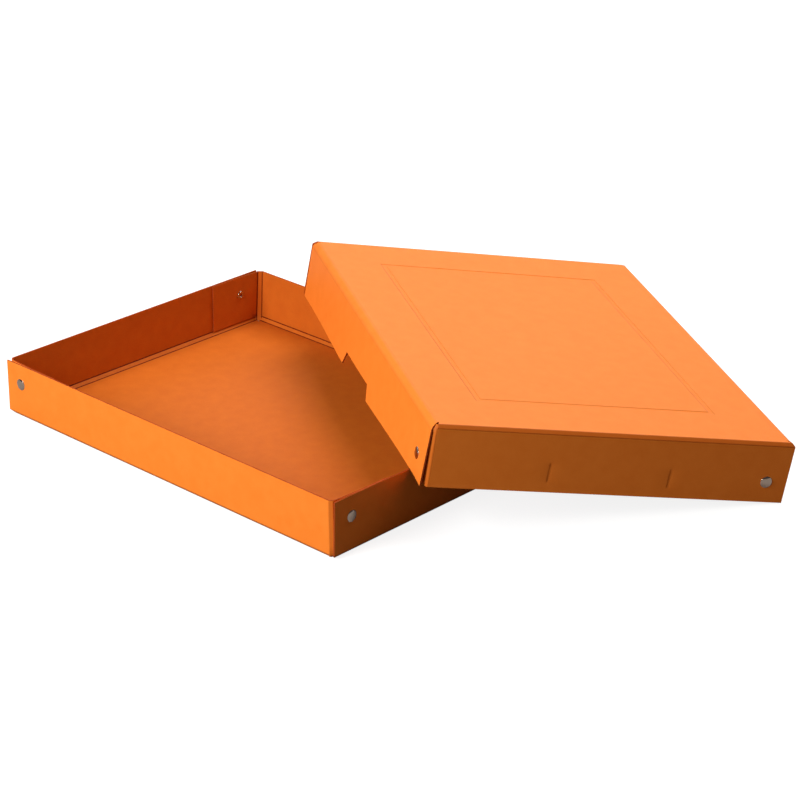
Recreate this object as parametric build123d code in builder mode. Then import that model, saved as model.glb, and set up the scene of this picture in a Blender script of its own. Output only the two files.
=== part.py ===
from build123d import *
from math import asin, cos, radians, sin, sqrt
import os

# Document box of pressed board: an open tray and a lift-off lid, millimetres, +Z up.
# The origin is on the table under the middle of the tray. The lid is off and leans
# on two rims of the tray with one corner on the table.

# Board and its folds
board = 1.0  # thickness of the pressed board
edge_bevel = 3.0  # outside leg of the double crease between a panel and its walls
tray_corner_bevel = 4.0  # outside leg of the double crease at the tray's corners
lid_corner_bevel = 3.0  # the same at the lid's corners

# Tray, outside
tray_length = 312.0
tray_width = 240.0
tray_depth = 40.0

# Lid: it drops over the tray with this air all round, and over its rim
lid_air = 2.5
lid_headroom = 1.0

# Corner flaps, inside the neighbouring wall
flap_length = 48.0  # from the outside corner to the flap's free end
flap_gap = 0.25  # air between the flap and the wall that it is riveted to
flap_lift = 0.6  # the flap stops this much above the crease at the foot of the wall
flap_drop = 0.3  # and this much short of the rim
raw_edge_inset = 0.6  # a wall's cut end stops this short of the outside corner

# Rivets, one piece each: a domed head outside, a hollow end rolled over inside
head_diameter = 8.0
head_height = 1.0
head_rim = 0.25
shank_diameter = 3.6
hollow_diameter = 2.5
hollow_depth = 1.9
roll_diameter = 6.0
roll_height = 1.0
hole_clearance = 0.2
rivet_from_rim = 14.4

# Each corner was riveted by eye, so its rivet has its own distance from the corner.
# The order goes round each blank from its first long wall, seen from the open side.
tray_sides = ("front", "right", "back", "left")
tray_rivet_inset = (14.2, 15.8, 15.0, 20.5)
lid_sides = ("left", "back", "right", "front")
lid_rivet_inset = (18.7, 15.5, 17.0, 15.1)

# Finger notches in the lid's two long walls
notch_mouth = 64.0
notch_top = 54.0
notch_depth = 10.0

# Pressed lines in the lid: a frame on the top and two label marks on the front
press_depth = 0.3
frame_margin = 41.0
frame_line = 3.5
mark_width = 2.6
mark_height = 12.6
mark_spacing = 82.0
mark_from_top = 28.5

# Where the leaning lid crosses the tray's rims, and how it is turned there
cross_right_rim = 67.5  # along the right wall, from the front corner
cross_back_rim = 75.4  # along the back wall, from the left corner
lid_turn = 3.96  # degrees, between the lid's long side and the line through the crossings
rest_gap = 0.45  # the lid's edge over the rims at those two crossings

# Sizes that follow
lid_length = tray_length + 2 * (lid_air + board)
lid_width = tray_width + 2 * (lid_air + board)
lid_depth = tray_depth + lid_headroom + board
flap_inset = board + flap_gap
grip = flap_inset + board


def side_planes(base, length, width):
    """The four walls of a blank: a plane at each wall's cut end, X along the wall,
    Y inwards and Z towards the open side, with the wall's outside length."""
    corners = ((-length, -width, 0), (length, -width, 90), (length, width, 180), (-length, width, 270))
    planes = [Plane(base.location * Location((x / 2, y / 2, 0), (0, 0, turn))) for x, y, turn in corners]
    return list(zip(planes, (length, width, length, width)))


def crease_plane(plane):
    """The 45 degree band at the foot of a wall: X along the wall, Y up the slope to the
    wall, from the crease at the panel, looking out and away from the open side."""
    foot = plane.from_local_coords((0, edge_bevel, 0))
    return Plane(origin=foot, x_dir=plane.x_dir, z_dir=-(plane.y_dir + plane.z_dir))


def outside_face(plane, along, height):
    """A plane on a wall's outside face, looking outwards, Y towards the open side."""
    spot = plane.from_local_coords((along, 0, height))
    return Plane(origin=spot, x_dir=plane.x_dir, z_dir=-plane.y_dir)


def outline(plane, *points):
    """A straight-sided face on a plane, through these corners."""
    with BuildSketch(plane) as face:
        with BuildLine():
            Polyline(*points, close=True)
        make_face()
    return face.sketch


def add_folded_board(base, length, width, depth, corner_bevel, rivet_insets):
    """One die-cut blank, folded up: a panel, four walls behind a double crease, and a
    flap at the far end of each wall, turned round the corner inside the next wall."""
    with BuildSketch(base) as panel:
        Rectangle(length - 2 * edge_bevel, width - 2 * edge_bevel)
    extrude(panel.sketch, amount=board)
    slope = edge_bevel * sqrt(2)
    flap_foot = edge_bevel + flap_lift
    for plane, run in side_planes(base, length, width):
        start, end = raw_edge_inset, run - corner_bevel
        # the band between the two creases, mitred at the wall's cut end
        band = outline(crease_plane(plane), (edge_bevel, 0), (end, 0), (end, slope), (start, slope))
        extrude(band, amount=-board)
        face = outside_face(plane, 0, 0)
        wall = outline(face, (start, edge_bevel), (end, edge_bevel), (end, depth), (start, depth))
        extrude(wall, amount=-board)
        # the corner band and the flap, seen from the open side
        with BuildSketch(plane.offset(flap_foot)) as flap:
            with BuildLine():
                Polyline(
                    (end - board, 0),
                    (end, 0),
                    (run - flap_inset, corner_bevel - flap_inset),
                    (run - flap_inset, flap_length),
                )
                offset(amount=board, side=Side.LEFT)
            make_face()
        extrude(flap.sketch, amount=depth - flap_drop - flap_foot)
    for (plane, run), inset in zip(side_planes(base, length, width), rivet_insets):
        with BuildSketch(outside_face(plane, inset, depth - rivet_from_rim)) as hole:
            Circle((shank_diameter + hole_clearance) / 2)
        extrude(hole.sketch, amount=-(grip + board), mode=Mode.SUBTRACT)


def add_rivet(face):
    """A semi-tubular rivet set in a wall and the flap behind it, turned about its axis:
    a low dome on the outside, a plain shank, and a hollow end rolled over the flap."""
    head, shank = head_diameter / 2, shank_diameter / 2
    hollow, roll = hollow_diameter / 2, roll_diameter / 2
    curl = roll_height / 2
    seat, end = -grip, -grip - roll_height
    dome_sag = head_height - head_rim
    dome_radius = (head**2 + dome_sag**2) / (2 * dome_sag)
    with BuildSketch(Plane(origin=face.origin, x_dir=face.x_dir, z_dir=-face.y_dir)) as section:
        with BuildLine():
            RadiusArc((0, head_height), (head, head_rim), dome_radius)
            Polyline((head, head_rim), (head, 0), (shank, 0), (shank, seat), (roll - curl, seat))
            Polyline((roll - curl, seat), (roll, seat - curl), (roll - curl, end), (hollow + curl, end))
            Polyline((hollow + curl, end), (hollow, end + curl), (hollow, end + hollow_depth))
            Polyline((hollow, end + hollow_depth), (0, end + hollow_depth), (0, head_height))
        make_face()
    revolve(section.sketch, axis=Axis(face.origin, face.z_dir))


# The lid's rim lies in a plane through the two crossings and one corner on the table.
# In that plane the lid's walls run at lid_turn to the line through the crossings, so
# that line and the lid's outline give how far the low corner is from it, and the lean.
rim_height = tray_depth + rest_gap
first = Vector(tray_length / 2, cross_right_rim - tray_width / 2, rim_height)
second = Vector(cross_back_rim - tray_length / 2, tray_width / 2, rim_height)
crossing = second - first
before_first = lid_length - crossing.length * cos(radians(lid_turn))
fall = lid_width * cos(radians(lid_turn)) + before_first * sin(radians(lid_turn))
lean = asin(rim_height / fall)
level = crossing.normalized()
outwards = level.cross(Vector(0, 0, 1))
downhill = outwards * cos(lean) - Vector(0, 0, sin(lean))
lid_across = level * sin(radians(lid_turn)) + downhill * cos(radians(lid_turn))
lid_along = level * cos(radians(lid_turn)) - downhill * sin(radians(lid_turn))
lid_up = lid_across.cross(lid_along)
low_corner = first + lid_across * lid_width - lid_along * before_first
lid_middle = low_corner - lid_across * (lid_width / 2) + lid_along * (lid_length / 2)

tray_base = Plane.XY
lid_base = Plane(origin=lid_middle + lid_up * lid_depth, x_dir=lid_along, z_dir=-lid_up)
tray_walls = side_planes(tray_base, tray_length, tray_width)
lid_walls = side_planes(lid_base, lid_length, lid_width)

with BuildPart() as tray_board:
    add_folded_board(tray_base, tray_length, tray_width, tray_depth, tray_corner_bevel, tray_rivet_inset)

with BuildPart() as lid_board:
    add_folded_board(lid_base, lid_length, lid_width, lid_depth, lid_corner_bevel, lid_rivet_inset)
    # finger notches in the two long walls
    for plane, run in (lid_walls[0], lid_walls[2]):
        rim = outside_face(plane, run / 2, lid_depth)
        mouth, top = notch_mouth / 2, notch_top / 2
        notch = outline(rim, (-mouth, 0), (-top, -notch_depth), (top, -notch_depth), (mouth, 0))
        extrude(notch, amount=-2 * board, mode=Mode.SUBTRACT)
    # the pressed frame on the top
    with BuildSketch(lid_base):
        Rectangle(lid_length - 2 * frame_margin, lid_width - 2 * frame_margin)
        inner_margin = frame_margin + frame_line
        Rectangle(lid_length - 2 * inner_margin, lid_width - 2 * inner_margin, mode=Mode.SUBTRACT)
    extrude(amount=press_depth, mode=Mode.SUBTRACT)
    # the two pressed marks for a label on the front wall
    front, front_run = lid_walls[3]
    with BuildSketch(outside_face(front, front_run / 2, mark_from_top)):
        with GridLocations(mark_spacing, 0, 2, 1):
            Rectangle(mark_width, mark_height)
    extrude(amount=-press_depth, mode=Mode.SUBTRACT)

tray_board.part.label = "tray_board"
lid_board.part.label = "lid_board"
pieces = [tray_board.part, lid_board.part]

for role, walls, depth, sides, insets in (
    ("tray", tray_walls, tray_depth, tray_sides, tray_rivet_inset),
    ("lid", lid_walls, lid_depth, lid_sides, lid_rivet_inset),
):
    for (plane, run), side, inset in zip(walls, sides, insets):
        with BuildPart() as rivet:
            add_rivet(outside_face(plane, inset, depth - rivet_from_rim))
        rivet.part.label = f"{role}_rivet_{side}"
        pieces.append(rivet.part)

os.makedirs("parts", exist_ok=True)
for piece in pieces:
    export_step(piece, f"parts/{piece.label}.step")
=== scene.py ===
from dataclasses import dataclass
from math import asin, cos, degrees, radians, sin, tan

import bpy
import numpy as np
from mathutils import Matrix, Vector


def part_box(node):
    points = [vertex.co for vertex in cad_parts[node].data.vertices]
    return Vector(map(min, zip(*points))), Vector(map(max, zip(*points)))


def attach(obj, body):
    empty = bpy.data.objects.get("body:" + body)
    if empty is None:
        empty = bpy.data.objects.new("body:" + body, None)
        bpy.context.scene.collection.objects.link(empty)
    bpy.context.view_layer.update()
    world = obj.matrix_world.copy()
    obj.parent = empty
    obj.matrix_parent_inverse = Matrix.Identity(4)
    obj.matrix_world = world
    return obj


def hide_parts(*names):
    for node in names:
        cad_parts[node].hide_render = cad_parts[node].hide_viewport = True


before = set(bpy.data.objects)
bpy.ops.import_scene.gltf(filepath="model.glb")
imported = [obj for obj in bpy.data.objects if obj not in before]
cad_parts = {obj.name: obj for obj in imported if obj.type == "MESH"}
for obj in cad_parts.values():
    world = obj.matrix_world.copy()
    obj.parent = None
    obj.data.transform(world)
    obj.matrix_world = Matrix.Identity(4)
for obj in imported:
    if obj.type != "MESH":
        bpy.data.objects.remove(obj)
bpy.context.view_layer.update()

# A document box of pressed board: an open tray, and a lift-off lid that leans on it.
# Metres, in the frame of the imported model: the origin is under the middle of the tray.
MM = 0.001

# Board, its double creases and its flaps
BOARD = 1.0 * MM
EDGE_BEVEL = 3.0 * MM  # leg of the band between a panel and its walls
RAW_EDGE_INSET = 0.6 * MM  # a wall's cut end stops this short of the outside corner
FLAP_LENGTH = 48.0 * MM  # from the outside corner to the flap's free end
FLAP_GAP = 0.25 * MM  # air between the flap and the wall that it is riveted to
FLAP_LIFT = 0.6 * MM  # the flap stops this much above the crease at the foot of the wall
FLAP_DROP = 0.3 * MM  # and this much short of the rim
FLAP_INSET = BOARD + FLAP_GAP
FLAP_GAPE = 1.5 * MM  # how far a flap stands off its wall at the rim, next to its fold
GAPE_REACH = 26.0 * MM  # and how far along the flap it takes to close
CORNER_FOOT = 0.5 * MM  # height of the corner band's lower end, tucked in under the corner
CORNER_TUCK = 0.75  # how far it leans in there, as a share of the height below the crease
BOW_START = 1.5  # a wall's bow starts at this many times its rivet's inset
SPRING_POWER = 1.5  # with which a gaping flap or a sprung cut end comes back to its plane
CUT_ROUND = 0.12 * MM  # wear on the cut edges
CUT_ANGLE = radians(50)  # an edge that turns more than this is a cut one

# Rounded folds, and the darker lines along them: pressed lines with painted shade
SHARP_FOLD = 1.15 * MM  # radius of the tightest fold: its inside is nearly a sharp line
FOLD_STEPS = 6  # straight pieces in each 45 degree fold
FOLD_REACH = tan(radians(22.5))  # from a fold's corner to its start, as a share of its radius
FOLD_MARK = 0.42 * MM  # how far a fold's darker line, pressed line and painted shade, fades into the flat board
PLAIN_MARK = 0.7  # strength of a sharp fold's darker line, a pressed line with painted shade, up to 1 for the darkest
FOLD_ROOM = 2.3 * MM  # beside the band, for the roundest fold and its darker line
PANEL_INSET = EDGE_BEVEL + FOLD_ROOM  # where the panel's flat grid ends
SLANT = np.sqrt(0.5)  # either part of a 45 degree way

# Steps of the grids: the widest ones, and the narrower ones next to a fold or a rim
PANEL_STEP = 8.0 * MM
PANEL_EDGE_STEP = 3.0 * MM
WALL_STEP = 6.0 * MM
WALL_FOOT_STEP = 2.6 * MM
WALL_RIM_STEP = 2.0 * MM
FLAP_STEP = 5.0 * MM
WELD = 0.01 * MM  # where grids meet, points that round to the same step of this are one

# Sizes of the two halves: the tray's come from its node, the lid drops over it
tray_low, tray_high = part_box("tray_board")
TRAY_LENGTH, TRAY_WIDTH, TRAY_DEPTH = (high - low for low, high in zip(tray_low, tray_high))
LID_AIR = 2.5 * MM  # between the closed halves, all round
LID_HEADROOM = 1.0 * MM  # and over the tray's rim
LID_LENGTH = TRAY_LENGTH + 2 * (LID_AIR + BOARD)
LID_WIDTH = TRAY_WIDTH + 2 * (LID_AIR + BOARD)
LID_DEPTH = TRAY_DEPTH + LID_HEADROOM + BOARD

# Finger notches in the lid's long walls
NOTCH_MOUTH = 64.0 * MM
NOTCH_TOP = 54.0 * MM
NOTCH_DEPTH = 10.0 * MM

# Pressed frame on the lid's top and label marks on its front wall
PRESS_DEPTH = 0.3 * MM
PRESS_SLOPE = 0.35 * MM
PRESS_SHADE = 0.79  # how dark the frame's pressed edges are painted: painted shade along its groove
FRAME_MARGIN = 41.0 * MM
FRAME_LINE = 3.5 * MM
MARK_WIDTH = 2.6 * MM
MARK_HEIGHT = 12.6 * MM
MARK_SPACING = 82.0 * MM
MARK_FROM_TOP = 28.5 * MM

# Rivets
HEAD_RADIUS = 4.0 * MM
HEAD_HEIGHT = 1.0 * MM
HEAD_RIM = 0.12 * MM  # radius of the head's rounded rim
SHANK_RADIUS = 1.8 * MM
HOLLOW_RADIUS = 1.25 * MM
HOLLOW_DEPTH = 1.9 * MM
HOLLOW_BOTTOM = 0.4  # how round its bottom is: its rise as a share of the radius
ROLL_RADIUS = 3.0 * MM
ROLL_HEIGHT = 1.0 * MM
RIVET_FROM_RIM = 14.4 * MM
RIVET_STEPS = 56  # flat strips round a rivet
GRIP = FLAP_INSET + BOARD

# Where the lid leans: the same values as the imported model's
CROSS_RIGHT_RIM = 67.5 * MM  # along the right wall, from the front corner
CROSS_BACK_RIM = 75.4 * MM  # along the back wall, from the left corner
LID_TURN = radians(3.96)  # between the lid's long side and the line through the crossings
REST_GAP = 0.45 * MM  # the lid's edge over the rims at those crossings

# The camera, fitted to the photograph's frame of 800 x 800
CAMERA_PLACE = (1.07111, -1.07024, 0.70712)
CAMERA_RIGHT = (0.73578, 0.67705, 0.01508)
CAMERA_UP = (-0.28965, 0.29449, 0.9107)
CAMERA_LENS = 109.5
CAMERA_SENSOR = 36.0


def lid_place():
    """The lid's own frame in the object's: X along its long walls, Y across it, Z to its
    open side, from the middle of its top. Its rim lies in the plane through the two
    crossings on the tray's rims and one corner on the table."""
    rim_height = TRAY_DEPTH + REST_GAP
    first = Vector((TRAY_LENGTH / 2, CROSS_RIGHT_RIM - TRAY_WIDTH / 2, rim_height))
    second = Vector((CROSS_BACK_RIM - TRAY_LENGTH / 2, TRAY_WIDTH / 2, rim_height))
    crossing = second - first
    before_first = LID_LENGTH - crossing.length * cos(LID_TURN)
    fall = LID_WIDTH * cos(LID_TURN) + before_first * sin(LID_TURN)
    lean = asin(rim_height / fall)
    level = crossing.normalized()
    outwards = level.cross(Vector((0, 0, 1)))
    downhill = outwards * cos(lean) - Vector((0, 0, sin(lean)))
    across = level * sin(LID_TURN) + downhill * cos(LID_TURN)
    along = level * cos(LID_TURN) - downhill * sin(LID_TURN)
    up = across.cross(along)
    low_corner = first + across * LID_WIDTH - along * before_first
    middle = low_corner - across * (LID_WIDTH / 2) + along * (LID_LENGTH / 2) + up * LID_DEPTH
    place = Matrix((along, across, -up)).transposed().to_4x4()
    place.translation = middle
    return place


def fold(corner, ahead, side, radius, strength):
    """A rounded 45 degree turn at a corner of a path: the arc of this radius that is
    tangent to the straight before it (ahead) and turns towards side. Returns points
    as rows, and for each the strength of the darker line, a pressed line with painted shade."""
    turn = np.linspace(0, radians(45), FOLD_STEPS + 1)[:, None]
    forward = radius * np.sin(turn) - radius * FOLD_REACH
    sideways = radius * (1 - np.cos(turn))
    points = np.asarray(corner) + forward * np.asarray(ahead) + sideways * np.asarray(side)
    return points, np.full(len(turn), strength)


def hump(x, start, end):
    """A smooth rise and fall from start to end: the square of half a sine wave."""
    return np.sin(np.pi * np.clip((x - start) / (end - start), 0, 1)) ** 2


def plateau(x, middle, half, slope):
    """1 within half of the middle and 0 outside it, with a straight slope between."""
    return np.clip((half - np.abs(x - middle)) / slope + 0.5, 0, 1)


def spread(stops, step):
    """The stops in order, with evenly spaced values added so that no gap is over step.
    A millionth of a step is let pass as rounding."""
    stops = sorted(set(stops))
    values = [stops[:1]]
    for low, high in zip(stops, stops[1:]):
        count = max(1, int(np.ceil((high - low) / step - 1e-6)))
        values.append(np.linspace(low, high, count + 1)[1:])
    return np.concatenate(values)


def edges_of(middle, half, slope, fade=0):
    """The places where a pressed line starts and stops falling, on both of its sides,
    and where the darkness of its edges has faded."""
    parts = [part * (slope / 2 + beyond) for part in (-1, 1) for beyond in (0, fade)]
    return [middle + way * (half + part) for way in (-1, 1) for part in parts]


@dataclass
class Blank:
    """One die-cut blank, folded up. What it gives for each of its four walls goes round
    the blank from the first long wall. A corner belongs to the wall that turns into it."""

    length: float
    width: float
    depth: float
    lid: bool  # with the finger notches, the pressed frame and the label marks
    edge_legs: tuple  # outside leg of the band at the foot of each wall
    edge_marks: tuple  # strength of the darker lines at that band's two folds: pressed lines with painted shade
    band_shades: tuple  # and how dark the band between them is painted: painted shade
    corner_marks: tuple  # the same for every corner: its two folds, and its band
    raw_insets: tuple  # how far each cut end stops short of the outside corner
    corner_feet: tuple  # outside leg of each corner's band at its foot
    corner_rims: tuple  # and at the rim
    panel_folds: tuple  # radius of each edge's fold at the panel
    wall_folds: tuple  # and at the wall
    corner_folds: tuple  # and of the two folds at each corner
    bows: tuple  # how far each rim bows out between its rivets
    flares: tuple  # how far each cut end springs out past its rivet
    rivet_insets: tuple  # from the outside corner at each cut end to the rivet

    def run(self, index):
        """A wall's outside length: the first and the third are the long ones."""
        return self.width if index % 2 else self.length

    def has_notch(self, index):
        """The lid's long walls have the finger notches."""
        return self.lid and index % 2 == 0

    def has_label_marks(self, index):
        """The lid's last wall is its front one, with the marks for a label."""
        return self.lid and index == 3

    def walls(self):
        """For each wall: its number, the corner at its cut end, the way along it and the
        way inwards."""
        corners = ((-1, -1), (1, -1), (1, 1), (-1, 1))
        ways = ((1, 0), (0, 1), (-1, 0), (0, -1))
        for index, (corner, way) in enumerate(zip(corners, ways)):
            start = np.array((corner[0] * self.length / 2, corner[1] * self.width / 2, 0.0))
            along = np.array((way[0], way[1], 0.0))
            inwards = np.array((-way[1], way[0], 0.0))
            yield index, start, along, inwards

    def stand_off(self, index, along, height):
        """How far a wall stands outside its plane: its free edge bows out between the
        rivets, and its cut end springs out past its rivet. Both grow evenly with the
        height over the crease."""
        inset = self.rivet_insets[index]
        bowed = self.bows[index] * hump(along, BOW_START * inset, self.run(index) - inset)
        sprung = self.flares[index] * np.clip(1 - along / inset, 0, 1) ** SPRING_POWER
        rise = np.clip((height - EDGE_BEVEL) / (self.depth - EDGE_BEVEL), 0, 1)
        return (bowed + sprung) * rise

    def stops(self, index):
        """Where the grid of a wall, or of the panel beside it, needs a line. Opposite
        walls share them."""
        run = self.run(index)
        low, high = PANEL_INSET, run - PANEL_INSET
        stops = [low, low + PANEL_EDGE_STEP, high - PANEL_EDGE_STEP, high]
        if self.lid:
            frame_line = FRAME_MARGIN + FRAME_LINE / 2
            for place in (frame_line, run - frame_line):
                stops += edges_of(place, FRAME_LINE / 2, PRESS_SLOPE, FOLD_MARK)
            for way in (-1, 1):
                if index % 2:
                    mark = run / 2 + way * MARK_SPACING / 2
                    stops += edges_of(mark, MARK_WIDTH / 2, PRESS_SLOPE)
                else:
                    stops += [run / 2 + way * part / 2 for part in (NOTCH_MOUTH, NOTCH_TOP)]
        return spread(stops, PANEL_STEP)

    def panel(self):
        """The flat panel as a grid in x and y, with the frame pressed into the lid's:
        the depth is a plateau over the frame's line on whichever side is nearer, and the
        line's slopes are darkened with painted shade, evenly less beyond them. The columns
        go backwards, so that the faces point out of the box."""
        x, y = np.meshgrid(*(self.stops(index) - self.run(index) / 2 for index in (0, 1)))
        z, marks = np.zeros_like(x), np.zeros_like(x)
        if self.lid:
            from_edge = np.minimum(self.length / 2 - np.abs(x), self.width / 2 - np.abs(y))
            middle, half = FRAME_MARGIN + FRAME_LINE / 2, FRAME_LINE / 2
            z = PRESS_DEPTH * plateau(from_edge, middle, half, PRESS_SLOPE)
            from_slope = np.abs(np.abs(from_edge - middle) - half) - PRESS_SLOPE / 2
            marks = PRESS_SHADE * np.clip(1 - from_slope / FOLD_MARK, 0, 1)
        return np.stack((x, y, z), axis=-1)[:, ::-1], marks[:, ::-1]

    def foot_profile(self, index):
        """The section from the panel's grid to the wall's foot, as distance in from the
        wall's outside and height: two rounded 45 degree folds with a flat between."""
        leg, strength = self.edge_legs[index], self.edge_marks[index]
        up_band, inwards = np.array((-SLANT, SLANT)), np.array((SLANT, SLANT))
        lower, low_mark = fold((leg, 0), (-1, 0), (0, 1), self.panel_folds[index], strength)
        upper, high_mark = fold((0, leg), up_band, inwards, self.wall_folds[index], strength)
        points = [(PANEL_INSET, 0)], [lower[0] + (FOLD_MARK, 0)], lower
        points += [lower[-1] + up_band * FOLD_MARK], [upper[0] - up_band * FOLD_MARK]
        points += upper, [upper[-1] + (0, FOLD_MARK)]
        marks = [0, 0], low_mark, [self.band_shades[index]] * 2, high_mark, [0]
        return np.concatenate(points), np.concatenate(marks)

    def corner_leg(self, index, height):
        """The corner's band is narrower at its foot, evenly up to the rim."""
        foot, rim = self.corner_feet[index], self.corner_rims[index]
        return foot + (rim - foot) * height / self.depth

    def wall_columns(self, index, height):
        """Places along a wall at each height: from the cut end to the corner's fold."""
        reach = self.corner_folds[index] * FOLD_REACH + FOLD_MARK
        columns = np.tile(self.stops(index), (len(height), 1))
        columns[:, 0] = self.raw_insets[index]
        columns[:, -1:] = self.run(index) - self.corner_leg(index, height) - reach
        return columns

    def foot(self, index):
        """The fold between the panel and a wall: each row lies along the wall at one
        point of the section, and runs from the mitre at the cut end to the corner."""
        profile, marks = self.foot_profile(index)
        inset, height = profile[:, :1], profile[:, 1:]
        on_wall = self.wall_columns(index, height[-1:])
        share = inset / PANEL_INSET
        along = self.stops(index) * share + on_wall * (1 - share)
        outside = self.stand_off(index, along, height)
        return along, inset - outside, height + 0 * along, marks[:, None] + 0 * along

    def rim_height(self, index, along):
        """The height of the wall's rim: lower by the notch's depth within its top, and
        on a straight slope out to its mouth."""
        if not self.has_notch(index):
            return np.full_like(along, self.depth)
        from_middle = np.abs(along - self.run(index) / 2)
        slope = (NOTCH_MOUTH - NOTCH_TOP) / 2
        return self.depth - NOTCH_DEPTH * np.clip((NOTCH_MOUTH / 2 - from_middle) / slope, 0, 1)

    def flat(self, index, height, share):
        """The flat of a wall, from its cut end to the corner's fold. On the lid's front,
        the label marks are plateaus along the wall times plateaus in height."""
        along = self.wall_columns(index, height)
        foot = height[0]
        level = foot + share * (self.rim_height(index, along[0]) - foot)
        outside = self.stand_off(index, along, level)
        if self.has_label_marks(index):
            from_middle = np.abs(along - self.run(index) / 2)
            pressed = plateau(from_middle, MARK_SPACING / 2, MARK_WIDTH / 2, PRESS_SLOPE)
            pressed *= plateau(height, MARK_FROM_TOP, MARK_HEIGHT / 2, PRESS_SLOPE)
            outside = outside - PRESS_DEPTH * pressed
        return along, -outside, level, 0 * along

    def flap_corner(self, index, height):
        """Where the planes of a corner's band and its flap meet at each height: along
        the wall and in from it. Also how far the flap gapes there, evenly with height."""
        gape = FLAP_GAPE * (height / self.depth)
        leg = self.corner_leg(index, height)
        return self.run(index) - FLAP_INSET - gape, leg - FLAP_INSET - gape, gape

    def corner_band(self, index, height, share):
        """The band round a corner: two rounded 45 degree folds with a flat between.
        Below the crease it leans in, evenly with the depth below it."""
        pressed_line_and_shade, band_mark = self.corner_marks
        radius = self.corner_folds[index]
        first, first_mark = fold((0, 0), (1, 0), (0, 1), radius, pressed_line_and_shade)
        second, second_mark = fold((0, 0), (SLANT, SLANT), (-SLANT, SLANT), radius, pressed_line_and_shade)
        first = np.vstack((first, first[-1] + SLANT * FOLD_MARK))
        second = np.vstack((second[0] - SLANT * FOLD_MARK, second))
        bend = self.run(index) - self.corner_leg(index, height)
        far, inner, _ = self.flap_corner(index, height)
        along = np.hstack((bend + first[:, 0], far + second[:, 0]))
        inset = np.hstack((0 * bend + first[:, 1], inner + second[:, 1]))
        level = CORNER_FOOT + share * (self.depth - CORNER_FOOT)
        tuck = CORNER_TUCK * np.clip(EDGE_BEVEL - level, 0, None)
        marks = np.concatenate((first_mark, [band_mark] * 2, second_mark))
        return along - tuck, inset + tuck, level + 0 * along, marks + 0 * along

    def flap(self, index, height, share):
        """The flap, from its fold to its free end. Near the fold it gapes: it stands off
        the wall by a power of the distance to where it closes."""
        _, inner, gape = self.flap_corner(index, height)
        start = self.corner_folds[index] * FOLD_REACH + FOLD_MARK
        distance = spread((start, FLAP_LENGTH - 2 * self.corner_rims[index]), FLAP_STEP)
        closing = gape * np.clip(1 - distance / GAPE_REACH, 0, 1) ** SPRING_POWER
        along = self.run(index) - FLAP_INSET - np.hstack((closing, 0 * height))
        inset = np.hstack((inner + distance, FLAP_LENGTH + 0 * height))
        low, high = EDGE_BEVEL + FLAP_LIFT, self.depth - FLAP_DROP
        return along, inset, low + share * (high - low) + 0 * along, 0 * along

    def wall(self, index):
        """A wall with its corner band and flap as one grid: columns along the wall, round
        the corner and along the flap, rows from the foot to the rim."""
        foot = self.foot_profile(index)[0][-1, 1]
        levels = [foot, foot + WALL_FOOT_STEP, self.depth - WALL_RIM_STEP, self.depth]
        if self.has_label_marks(index):
            levels += edges_of(MARK_FROM_TOP, MARK_HEIGHT / 2, PRESS_SLOPE)
        share = (spread(levels, WALL_STEP)[:, None] - foot) / (self.depth - foot)
        height = foot + share * (self.depth - foot)
        strips = (part(index, height, share) for part in (self.flat, self.corner_band, self.flap))
        return [np.hstack(values) for values in zip(*strips)]

    def skin(self):
        """The blank's outside as one surface: points, quads and fold marks of the panel,
        the four feet and the four walls with their flaps, welded where they meet."""
        patches = [self.panel()]
        for index, start, way, inwards in self.walls():
            for along, inset, level, marks in (self.foot(index), self.wall(index)):
                points = start + along[..., None] * way + inset[..., None] * inwards
                points[..., 2] += level
                patches.append((points, marks))
        return weld(patches)


def weld(patches):
    """One surface from grids of points: quads between neighbours, and points that round
    to the same place made one."""
    points, marks, quads, used = [], [], [], 0
    for grid, mark in patches:
        rows, columns = grid.shape[:2]
        number = used + np.arange(rows * columns).reshape(rows, columns)
        corners = number[:-1, :-1], number[:-1, 1:], number[1:, 1:], number[1:, :-1]
        quads.append(np.stack([corner.ravel() for corner in corners], axis=1))
        points.append(grid.reshape(-1, 3))
        marks.append(np.ravel(mark))
        used += rows * columns
    points, marks, quads = np.concatenate(points), np.concatenate(marks), np.concatenate(quads)
    keys = np.round(points / WELD).astype(np.int64)
    _, first, place = np.unique(keys, axis=0, return_index=True, return_inverse=True)
    return points[first], place.reshape(-1)[quads], marks[first]


def make_mesh(name, points, faces, materials, place=None):
    """A smooth-shaded mesh object at the origin, with its place in its points."""
    mesh = bpy.data.meshes.new(name)
    mesh.from_pydata(points.tolist(), [], faces)
    if place is not None:
        mesh.transform(place)
    mesh.polygons.foreach_set("use_smooth", np.ones(len(mesh.polygons), dtype=bool))
    mesh.validate()
    for material in materials:
        mesh.materials.append(material)
    piece = bpy.data.objects.new(name, mesh)
    bpy.context.scene.collection.objects.link(piece)
    return piece


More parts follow.
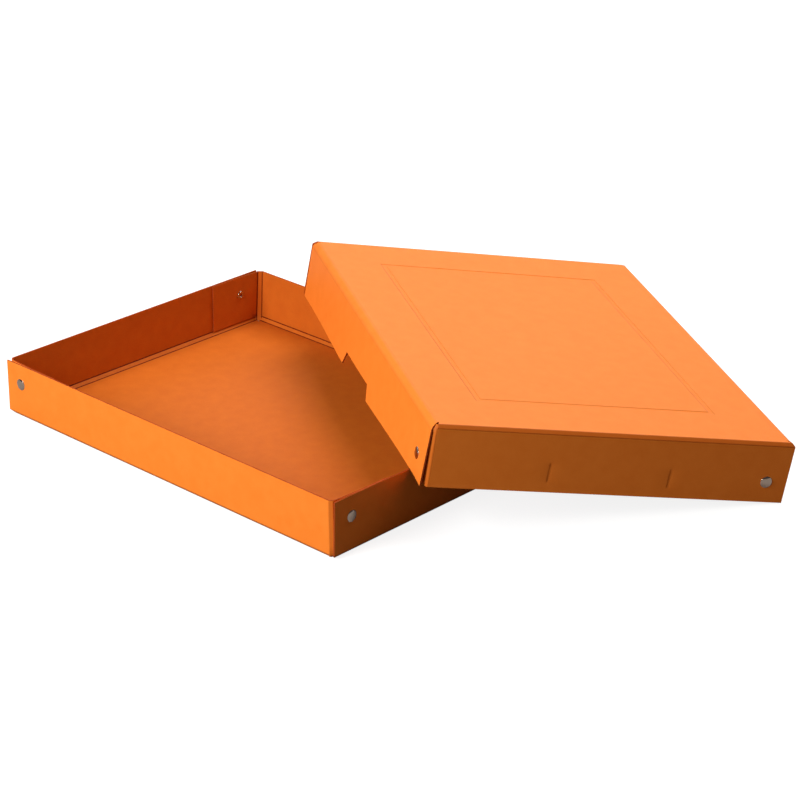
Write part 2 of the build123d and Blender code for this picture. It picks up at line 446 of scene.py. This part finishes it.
def folded_board(name, blank, place, materials):
    """A blank as a solid sheet: its skin, thickened inwards to the board's thickness,
    with lightly worn cut edges of their own material."""
    points, quads, marks = blank.skin()
    piece = make_mesh(name, points, quads.tolist(), materials, place)
    # painted shade: each point's share of the darker fold colour, over the pressed lines
    marked = piece.data.attributes.new("pressed_line_and_shade", "FLOAT", "POINT")
    marked.data.foreach_set("value", marks.astype(np.float32))
    solid = piece.modifiers.new("thickness", "SOLIDIFY")
    solid.thickness = BOARD
    solid.offset = -1
    solid.use_even_offset = True
    solid.use_rim = True
    solid.material_offset = 1
    solid.material_offset_rim = 2
    worn = piece.modifiers.new("worn_edges", "BEVEL")
    worn.width = CUT_ROUND
    worn.segments = 2
    worn.limit_method = "ANGLE"
    worn.angle_limit = CUT_ANGLE
    worn.use_clamp_overlap = True
    smooth = piece.modifiers.new("flat_faces", "WEIGHTED_NORMAL")
    smooth.keep_sharp = True
    return piece


def arc(middle, radius, start, end, steps):
    """Points on a circle's arc, angles in degrees."""
    turn = np.radians(np.linspace(start, end, steps + 1))
    return np.stack((middle[0] + radius * np.cos(turn), middle[1] + radius * np.sin(turn)), axis=1)


def rivet_profile():
    """Half of a semi-tubular rivet's section, as distance from its axis and height over
    the wall: a dome as part of a sphere that runs on into the rounded rim, a plain shank,
    an end rolled over the flap as most of a circle, and the hollow with its bottom as a
    flattened quarter circle. The sphere's radius puts its top at the head's height and
    the rim inside it."""
    sag, reach = HEAD_HEIGHT - HEAD_RIM, HEAD_RADIUS - HEAD_RIM
    radius = (reach**2 + sag**2 - HEAD_RIM**2) / (2 * (sag - HEAD_RIM))
    edge = 90 - degrees(asin(reach / (radius - HEAD_RIM)))
    dome = arc((0, HEAD_HEIGHT - radius), radius, 90, edge, steps=12)
    rim = arc((reach, HEAD_RIM), HEAD_RIM, edge, -90, steps=8)[1:]
    shank = np.array(((SHANK_RADIUS, 0), (SHANK_RADIUS, -GRIP)))
    curl = ROLL_HEIGHT / 2
    roll = arc((ROLL_RADIUS - curl, -GRIP - curl), curl, 90, -90, steps=8)
    lip = arc((HOLLOW_RADIUS + curl, -GRIP - curl), curl, -90, -180, steps=5)
    rise = HOLLOW_BOTTOM * HOLLOW_RADIUS
    bottom = -GRIP - ROLL_HEIGHT + HOLLOW_DEPTH
    well = arc((0, 0), HOLLOW_RADIUS, 0, 90, steps=6) * (1, HOLLOW_BOTTOM) + (0, bottom - rise)
    profile = np.concatenate((dome, rim, shank, roll, lip, well))
    profile[0, 0] = profile[-1, 0] = 0
    return profile


def rivet(name, spot, axis, level, material):
    """The rivet's section turned about its axis, from the spot where its head sits on
    the wall, with a fan of faces at each pole. Level is a way across the axis."""
    profile = rivet_profile()
    turn = np.arange(RIVET_STEPS) * 2 * np.pi / RIVET_STEPS
    side = np.cross(axis, level)
    ring = np.cos(turn)[:, None] * level + np.sin(turn)[:, None] * side
    inner = profile[1:-1]
    body = spot + inner[:, :1, None] * ring + inner[:, 1:, None] * axis
    poles = spot + profile[[0, -1], 1:] * axis
    number = np.arange(len(inner) * RIVET_STEPS).reshape(len(inner), RIVET_STEPS)
    beside = np.roll(number, -1, axis=1)
    quads = np.stack((number[:-1], number[1:], beside[1:], beside[:-1]), axis=-1).reshape(-1, 4)
    top = np.full(RIVET_STEPS, number.size)
    cap = np.stack((top, number[0], beside[0]), axis=1)
    base = np.stack((top + 1, beside[-1], number[-1]), axis=1)
    points = np.concatenate((body.reshape(-1, 3), poles))
    return make_mesh(name, points, quads.tolist() + cap.tolist() + base.tolist(), [material])


def linear(colour):
    """An sRGB hex colour as linear RGBA."""
    parts = np.array([int(colour[place:place + 2], 16) for place in (1, 3, 5)]) / 255
    low, high = parts / 12.92, ((parts + 0.055) / 1.055) ** 2.4
    return (*np.where(parts <= 0.04045, low, high).tolist(), 1.0)


def add(tree, kind, settings=None, **links):
    """Adds a node with its settings. A link is named after the input, with its number
    where names repeat, and holds another node's output or a value."""
    node = tree.nodes.new(kind)
    for key, value in (settings or {}).items():
        setattr(node, key, value)
    for key, value in links.items():
        numbered = key[0] == "n" and key[1:].isdigit()
        socket = node.inputs[int(key[1:]) if numbered else key.replace("_", " ")]
        if isinstance(value, bpy.types.NodeSocket):
            tree.links.new(value, socket)
        else:
            socket.default_value = value
    return node


def new_material(name):
    """An empty material with its output node."""
    material = bpy.data.materials.new(name)
    material.use_nodes = True
    tree = material.node_tree
    tree.nodes.clear()
    return material, tree, tree.nodes.new("ShaderNodeOutputMaterial")


# Pressed board, dyed through: the colours of its outside, inside and cut edges. Each has
# its own colour, that of the thicker clouds of pulp and the darker one of its folds and
# pressed lines, which is partly painted shade.
OUTSIDE = ("#F58631", "#EF7E2A", "#8A3606")
# painted shade: the inside's colours are darker than the outside's, for the box's shaded inside
INSIDE_WITH_PAINTED_SHADE = ("#C9671E", "#C05F1B", "#5C1002")
CUT = ("#A84A1E", "#983E18", "#7E2C0E")
FIBRE = 0.45 * MM  # bundles of fibres: a single one, 0.03 mm wide, is too fine to show
FIBRE_SHAPE = (1.0, 0.35, 1.0)  # they lie along Y, about three times as long as wide
FIBRE_SHARE = 0.8  # how much they count beside the clouds
CLOUD = 9.0 * MM  # spots where the pulp was thicker

# Nickel plate with a warm tint of painted reflection from the orange board, and the patches of fine
# wear on it
NICKEL_WITH_PAINTED_REFLECTION = "#BCA899"
WEAR = 0.8 * MM


def pressed_board(name, colours, roughness, sheen, fold_fade, relief):
    """Through-dyed pressed board, calendered between rollers: a matt sheen, short
    fibres that lie mostly one way, faint clouds where the pulp was thicker, and darker
    lines along its folds and pressed lines, partly the creasing rule's press and partly
    painted shade, which fade with the power fold_fade of their strength. Relief is the
    height of its fibres."""
    plain, thick, pressed = (linear(colour) for colour in colours)
    material, tree, output = new_material(name)
    place = add(tree, "ShaderNodeTexCoord").outputs["Object"]
    laid = add(tree, "ShaderNodeMapping", n0=place, Scale=FIBRE_SHAPE).outputs[0]
    fibres = add(
        tree, "ShaderNodeTexNoise",
        Vector=laid, Scale=1 / FIBRE, Detail=3.0, Roughness=0.6,
    ).outputs[0]
    clouds = add(
        tree, "ShaderNodeTexNoise",
        Vector=place, Scale=1 / CLOUD, Detail=4.0, Roughness=0.55,
    ).outputs[0]
    mixed = add(
        tree, "ShaderNodeMath", {"operation": "MULTIPLY_ADD"},
        n0=fibres, n1=FIBRE_SHARE, n2=clouds,
    ).outputs[0]
    tone = add(tree, "ShaderNodeMapRange", n0=mixed, From_Min=0.6, From_Max=1.2).outputs[0]
    colour = add(
        tree, "ShaderNodeMix", {"data_type": "RGBA"},
        n0=tone, n6=plain, n7=thick,
    ).outputs[2]
    # painted shade at folds and pressed lines: the board turns towards its darker colour
    mark = add(tree, "ShaderNodeAttribute", {"attribute_name": "pressed_line_and_shade"}).outputs["Fac"]
    darker = add(
        tree, "ShaderNodeMath", {"operation": "POWER", "use_clamp": True},
        n0=mark, n1=fold_fade,
    ).outputs[0]
    folded = add(
        tree, "ShaderNodeMix", {"data_type": "RGBA"},
        n0=darker, n6=colour, n7=pressed,
    ).outputs[2]
    bump = add(tree, "ShaderNodeBump", Strength=0.25, Distance=relief, Height=fibres).outputs[0]
    shader = add(
        tree, "ShaderNodeBsdfPrincipled",
        Base_Color=folded, Normal=bump, Roughness=roughness, Specular_IOR_Level=sheen,
    )
    tree.links.new(shader.outputs[0], output.inputs[0])
    return material


def nickel_steel():
    """Nickel-plated steel, tumbled bright: a grey mirror with a warm tint of painted
    reflection from the orange board, softened by fine wear.
    """
    material, tree, output = new_material("nickel_plated_steel_tumbled")
    place = add(tree, "ShaderNodeTexCoord").outputs["Object"]
    wear = add(tree, "ShaderNodeTexNoise", Vector=place, Scale=1 / WEAR, Detail=3.0).outputs[0]
    rough = add(
        tree, "ShaderNodeMapRange",
        n0=wear, From_Min=0.3, From_Max=0.7, To_Min=0.09, To_Max=0.16,
    ).outputs[0]
    shader = add(
        tree, "ShaderNodeBsdfPrincipled",
        Base_Color=linear(NICKEL_WITH_PAINTED_REFLECTION), Metallic=1.0, Roughness=rough,
    )
    tree.links.new(shader.outputs[0], output.inputs[0])
    return material


board = (
    # rolled smooth outside: it shows a lamp as a wide soft sheen
    pressed_board(
        "pressed_board_calendered", OUTSIDE,
        roughness=0.42, sheen=0.05, fold_fade=4.0, relief=0.04 * MM,
    ),
    # the other side is less smooth; its deeper colour is painted shade for the box's shaded inside,
    # and its creases are darkest, with painted shade
    pressed_board(
        "pressed_board_inside_painted_shade", INSIDE_WITH_PAINTED_SHADE,
        roughness=0.55, sheen=0.08, fold_fade=0.2, relief=0.05 * MM,
    ),
    # cut through, its fibres stand on end: dull, rough and darker
    pressed_board(
        "pressed_board_cut_edge", CUT,
        roughness=0.85, sheen=0.05, fold_fade=6.0, relief=0.12 * MM,
    ),
)
nickel = nickel_steel()

tray = Blank(
    TRAY_LENGTH, TRAY_WIDTH, TRAY_DEPTH, lid=False,
    edge_legs=(EDGE_BEVEL,) * 4,
    edge_marks=(PLAIN_MARK,) * 4,
    band_shades=(0,) * 4,
    corner_marks=(0.6, 0),
    raw_insets=(RAW_EDGE_INSET, RAW_EDGE_INSET, RAW_EDGE_INSET, 2.4 * MM),
    corner_feet=(3.3 * MM, 3.3 * MM, 4.6 * MM, 3.3 * MM),
    corner_rims=(4.8 * MM, 4.8 * MM, 5.8 * MM, 4.8 * MM),
    panel_folds=(SHARP_FOLD,) * 4,
    wall_folds=(SHARP_FOLD,) * 4,
    corner_folds=(SHARP_FOLD,) * 4,
    bows=(0, 2.4 * MM, 0, 0),
    flares=(0.2 * MM, 0.2 * MM, 0.2 * MM, 0),
    rivet_insets=(14.2 * MM, 15.8 * MM, 15.0 * MM, 20.5 * MM),
)
lid = Blank(
    LID_LENGTH, LID_WIDTH, LID_DEPTH, lid=True,
    edge_legs=(EDGE_BEVEL, EDGE_BEVEL, EDGE_BEVEL, 2.0 * MM),
    # painted shade: the lid's folds and bands are painted darker, most on its front
    edge_marks=(0.6, 0.4, 0.3, 0.88),
    band_shades=(0.6, 0, 0.3, 0.88),
    corner_marks=(0.82, 0.82),
    raw_insets=(1.2 * MM, RAW_EDGE_INSET, RAW_EDGE_INSET, RAW_EDGE_INSET),
    corner_feet=(2.8 * MM,) * 4,
    corner_rims=(4.4 * MM, 4.4 * MM, 4.4 * MM, 4.3 * MM),
    panel_folds=(4.0 * MM, 1.6 * MM, 3.0 * MM, SHARP_FOLD),
    wall_folds=(4.0 * MM, 1.6 * MM, 3.0 * MM, SHARP_FOLD),
    corner_folds=(1.4 * MM,) * 4,
    bows=(2.7 * MM, 0.5 * MM, 1.5 * MM, 0),
    flares=(0.7 * MM, 0.4 * MM, 0.5 * MM, 0),
    rivet_insets=(18.7 * MM, 15.5 * MM, 17.0 * MM, 15.1 * MM),
)

for role, blank, place, sides in (
    ("tray", tray, Matrix.Identity(4), ("front", "right", "back", "left")),
    ("lid", lid, lid_place(), ("left", "back", "right", "front")),
):
    sheet = folded_board(f"{role}_folded_board", blank, place, board)
    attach(sheet, role)
    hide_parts(f"{role}_board")
    turn = np.array(place.to_3x3())
    height = blank.depth - RIVET_FROM_RIM
    for (index, start, along, inwards), side in zip(blank.walls(), sides):
        inset = blank.rivet_insets[index]
        outside = blank.stand_off(index, np.array(inset), np.array(height))
        spot = start + along * inset - inwards * outside + np.array((0, 0, height))
        spot = turn @ spot + np.array(place.translation)
        piece = rivet(f"{role}_semitubular_rivet_{side}", spot, turn @ -inwards, turn @ along, nickel)
        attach(piece, role)
        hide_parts(f"{role}_rivet_{side}")


def grey(level):
    """A linear grey as RGBA."""
    return (level, level, level, 1.0)


def seen_or_lit(tree):
    """1 for rays that come from the camera, a mirror or glass, and 0 for the light that
    falls on matt surfaces. Also gives the light path's own outputs."""
    path = add(tree, "ShaderNodeLightPath").outputs
    most = {"operation": "MAXIMUM"}
    seen = add(tree, "ShaderNodeMath", most, n0=path["Is Camera Ray"], n1=path["Is Glossy Ray"])
    seen = add(tree, "ShaderNodeMath", most, n0=seen.outputs[0], n1=path["Is Transmission Ray"])
    return seen.outputs[0], path


def studio_floor():
    """A pale floor: to the camera white, with a soft shadow near the object, darker in
    mirrors, and dark grey in the light that it throws back on the walls. It glows a
    little less near the object, where it also takes the lamps' light."""
    material, tree, output = new_material("pale_studio_floor")
    seen, path = seen_or_lit(tree)
    place = add(tree, "ShaderNodeTexCoord").outputs["Object"]
    distance = add(tree, "ShaderNodeVectorMath", {"operation": "LENGTH"}, n0=place).outputs["Value"]
    glow = add(
        tree, "ShaderNodeMapRange",
        n0=distance, From_Min=0.3, From_Max=0.9, To_Min=0.86, To_Max=1.0,
    ).outputs[0]
    mirrored = add(
        tree, "ShaderNodeMath", {"operation": "MULTIPLY_ADD"},
        n0=path["Is Glossy Ray"], n1=-0.8, n2=glow,
    ).outputs[0]
    dull = add(tree, "ShaderNodeBsdfDiffuse", Color=grey(0.14)).outputs[0]
    shaded = add(tree, "ShaderNodeBsdfDiffuse", Color=grey(0.3)).outputs[0]
    bright = add(tree, "ShaderNodeEmission", Color=grey(1.0), Strength=mirrored).outputs[0]
    pale = add(tree, "ShaderNodeAddShader", n0=shaded, n1=bright).outputs[0]
    both = add(tree, "ShaderNodeMixShader", n0=seen, n1=dull, n2=pale)
    tree.links.new(both.outputs[0], output.inputs[0])
    half_side = 8.0
    under_tray = 0.02 * MM  # so that the two don't lie in one plane
    corners = np.array(((-1, -1, 0), (1, -1, 0), (1, 1, 0), (-1, 1, 0)))
    corners = corners * half_side - (0, 0, under_tray)
    floor = make_mesh("studio_floor", corners, [(0, 1, 2, 3)], [material])


def studio_world():
    """White behind the object, also in reflections, with a dark room all round that
    only mirrors show, and a dim warm fill on matt surfaces."""
    world = bpy.data.worlds.new("studio_world")
    world.use_nodes = True
    tree = world.node_tree
    tree.nodes.clear()
    output = tree.nodes.new("ShaderNodeOutputWorld")
    seen, path = seen_or_lit(tree)
    way = add(tree, "ShaderNodeTexCoord").outputs["Generated"]
    behind = add(
        tree, "ShaderNodeVectorMath", {"operation": "DOT_PRODUCT"},
        n0=way, n1=(-0.67, 0.74, 0.0),
    ).outputs["Value"]
    room = add(
        tree, "ShaderNodeMapRange",
        n0=behind, From_Min=0.2, From_Max=0.8, To_Min=0.08, To_Max=1.0,
    ).outputs[0]
    direct = add(
        tree, "ShaderNodeMath", {"operation": "MAXIMUM"},
        n0=room, n1=path["Is Camera Ray"],
    ).outputs[0]
    warm = add(tree, "ShaderNodeBackground", Color=(1.0, 0.74, 0.5, 1.0), Strength=0.14).outputs[0]
    white = add(tree, "ShaderNodeBackground", Color=grey(1.0), Strength=direct).outputs[0]
    both = add(tree, "ShaderNodeMixShader", n0=seen, n1=warm, n2=white)
    tree.links.new(both.outputs[0], output.inputs[0])
    bpy.context.scene.world = world


def area_light(name, place, target, size, level):
    """A square soft box that faces the target. Level is how bright it makes a white
    surface that faces it there: power is level times pi squared times distance squared."""
    light = bpy.data.lights.new(name, "AREA")
    light.shape = "SQUARE"
    light.size = size
    way = Vector(place) - Vector(target)
    light.energy = level * np.pi**2 * way.length_squared
    lamp = bpy.data.objects.new(name, light)
    lamp.matrix_world = Matrix.Translation(place) @ way.to_track_quat("Z", "Y").to_matrix().to_4x4()
    bpy.context.scene.collection.objects.link(lamp)


def studio_camera():
    """The photograph's camera: no shift, no depth of field."""
    camera = bpy.data.cameras.new("studio_camera")
    camera.lens = CAMERA_LENS
    camera.sensor_width = CAMERA_SENSOR
    camera.clip_end = 50
    right, up = Vector(CAMERA_RIGHT), Vector(CAMERA_UP)
    stand = Matrix((right, up, right.cross(up))).transposed().to_4x4()
    stand.translation = CAMERA_PLACE
    viewer = bpy.data.objects.new("studio_camera", camera)
    viewer.matrix_world = stand
    bpy.context.scene.collection.objects.link(viewer)
    bpy.context.scene.camera = viewer


studio_floor()
studio_world()
area_light("key_softbox", (-0.13, -1.0, 0.6), target=(0.04, -0.1, 0.03), size=0.5, level=1.34)
area_light("back_softbox", (-0.6, 1.15, 0.95), target=(0.1, 0.1, 0.06), size=1.1, level=0.2)
area_light("top_softbox", (0.0, 0.6, 1.15), target=(0.1, 0.1, 0.05), size=0.8, level=0.88)
studio_camera()
bpy.context.scene.view_settings.view_transform = "Standard"
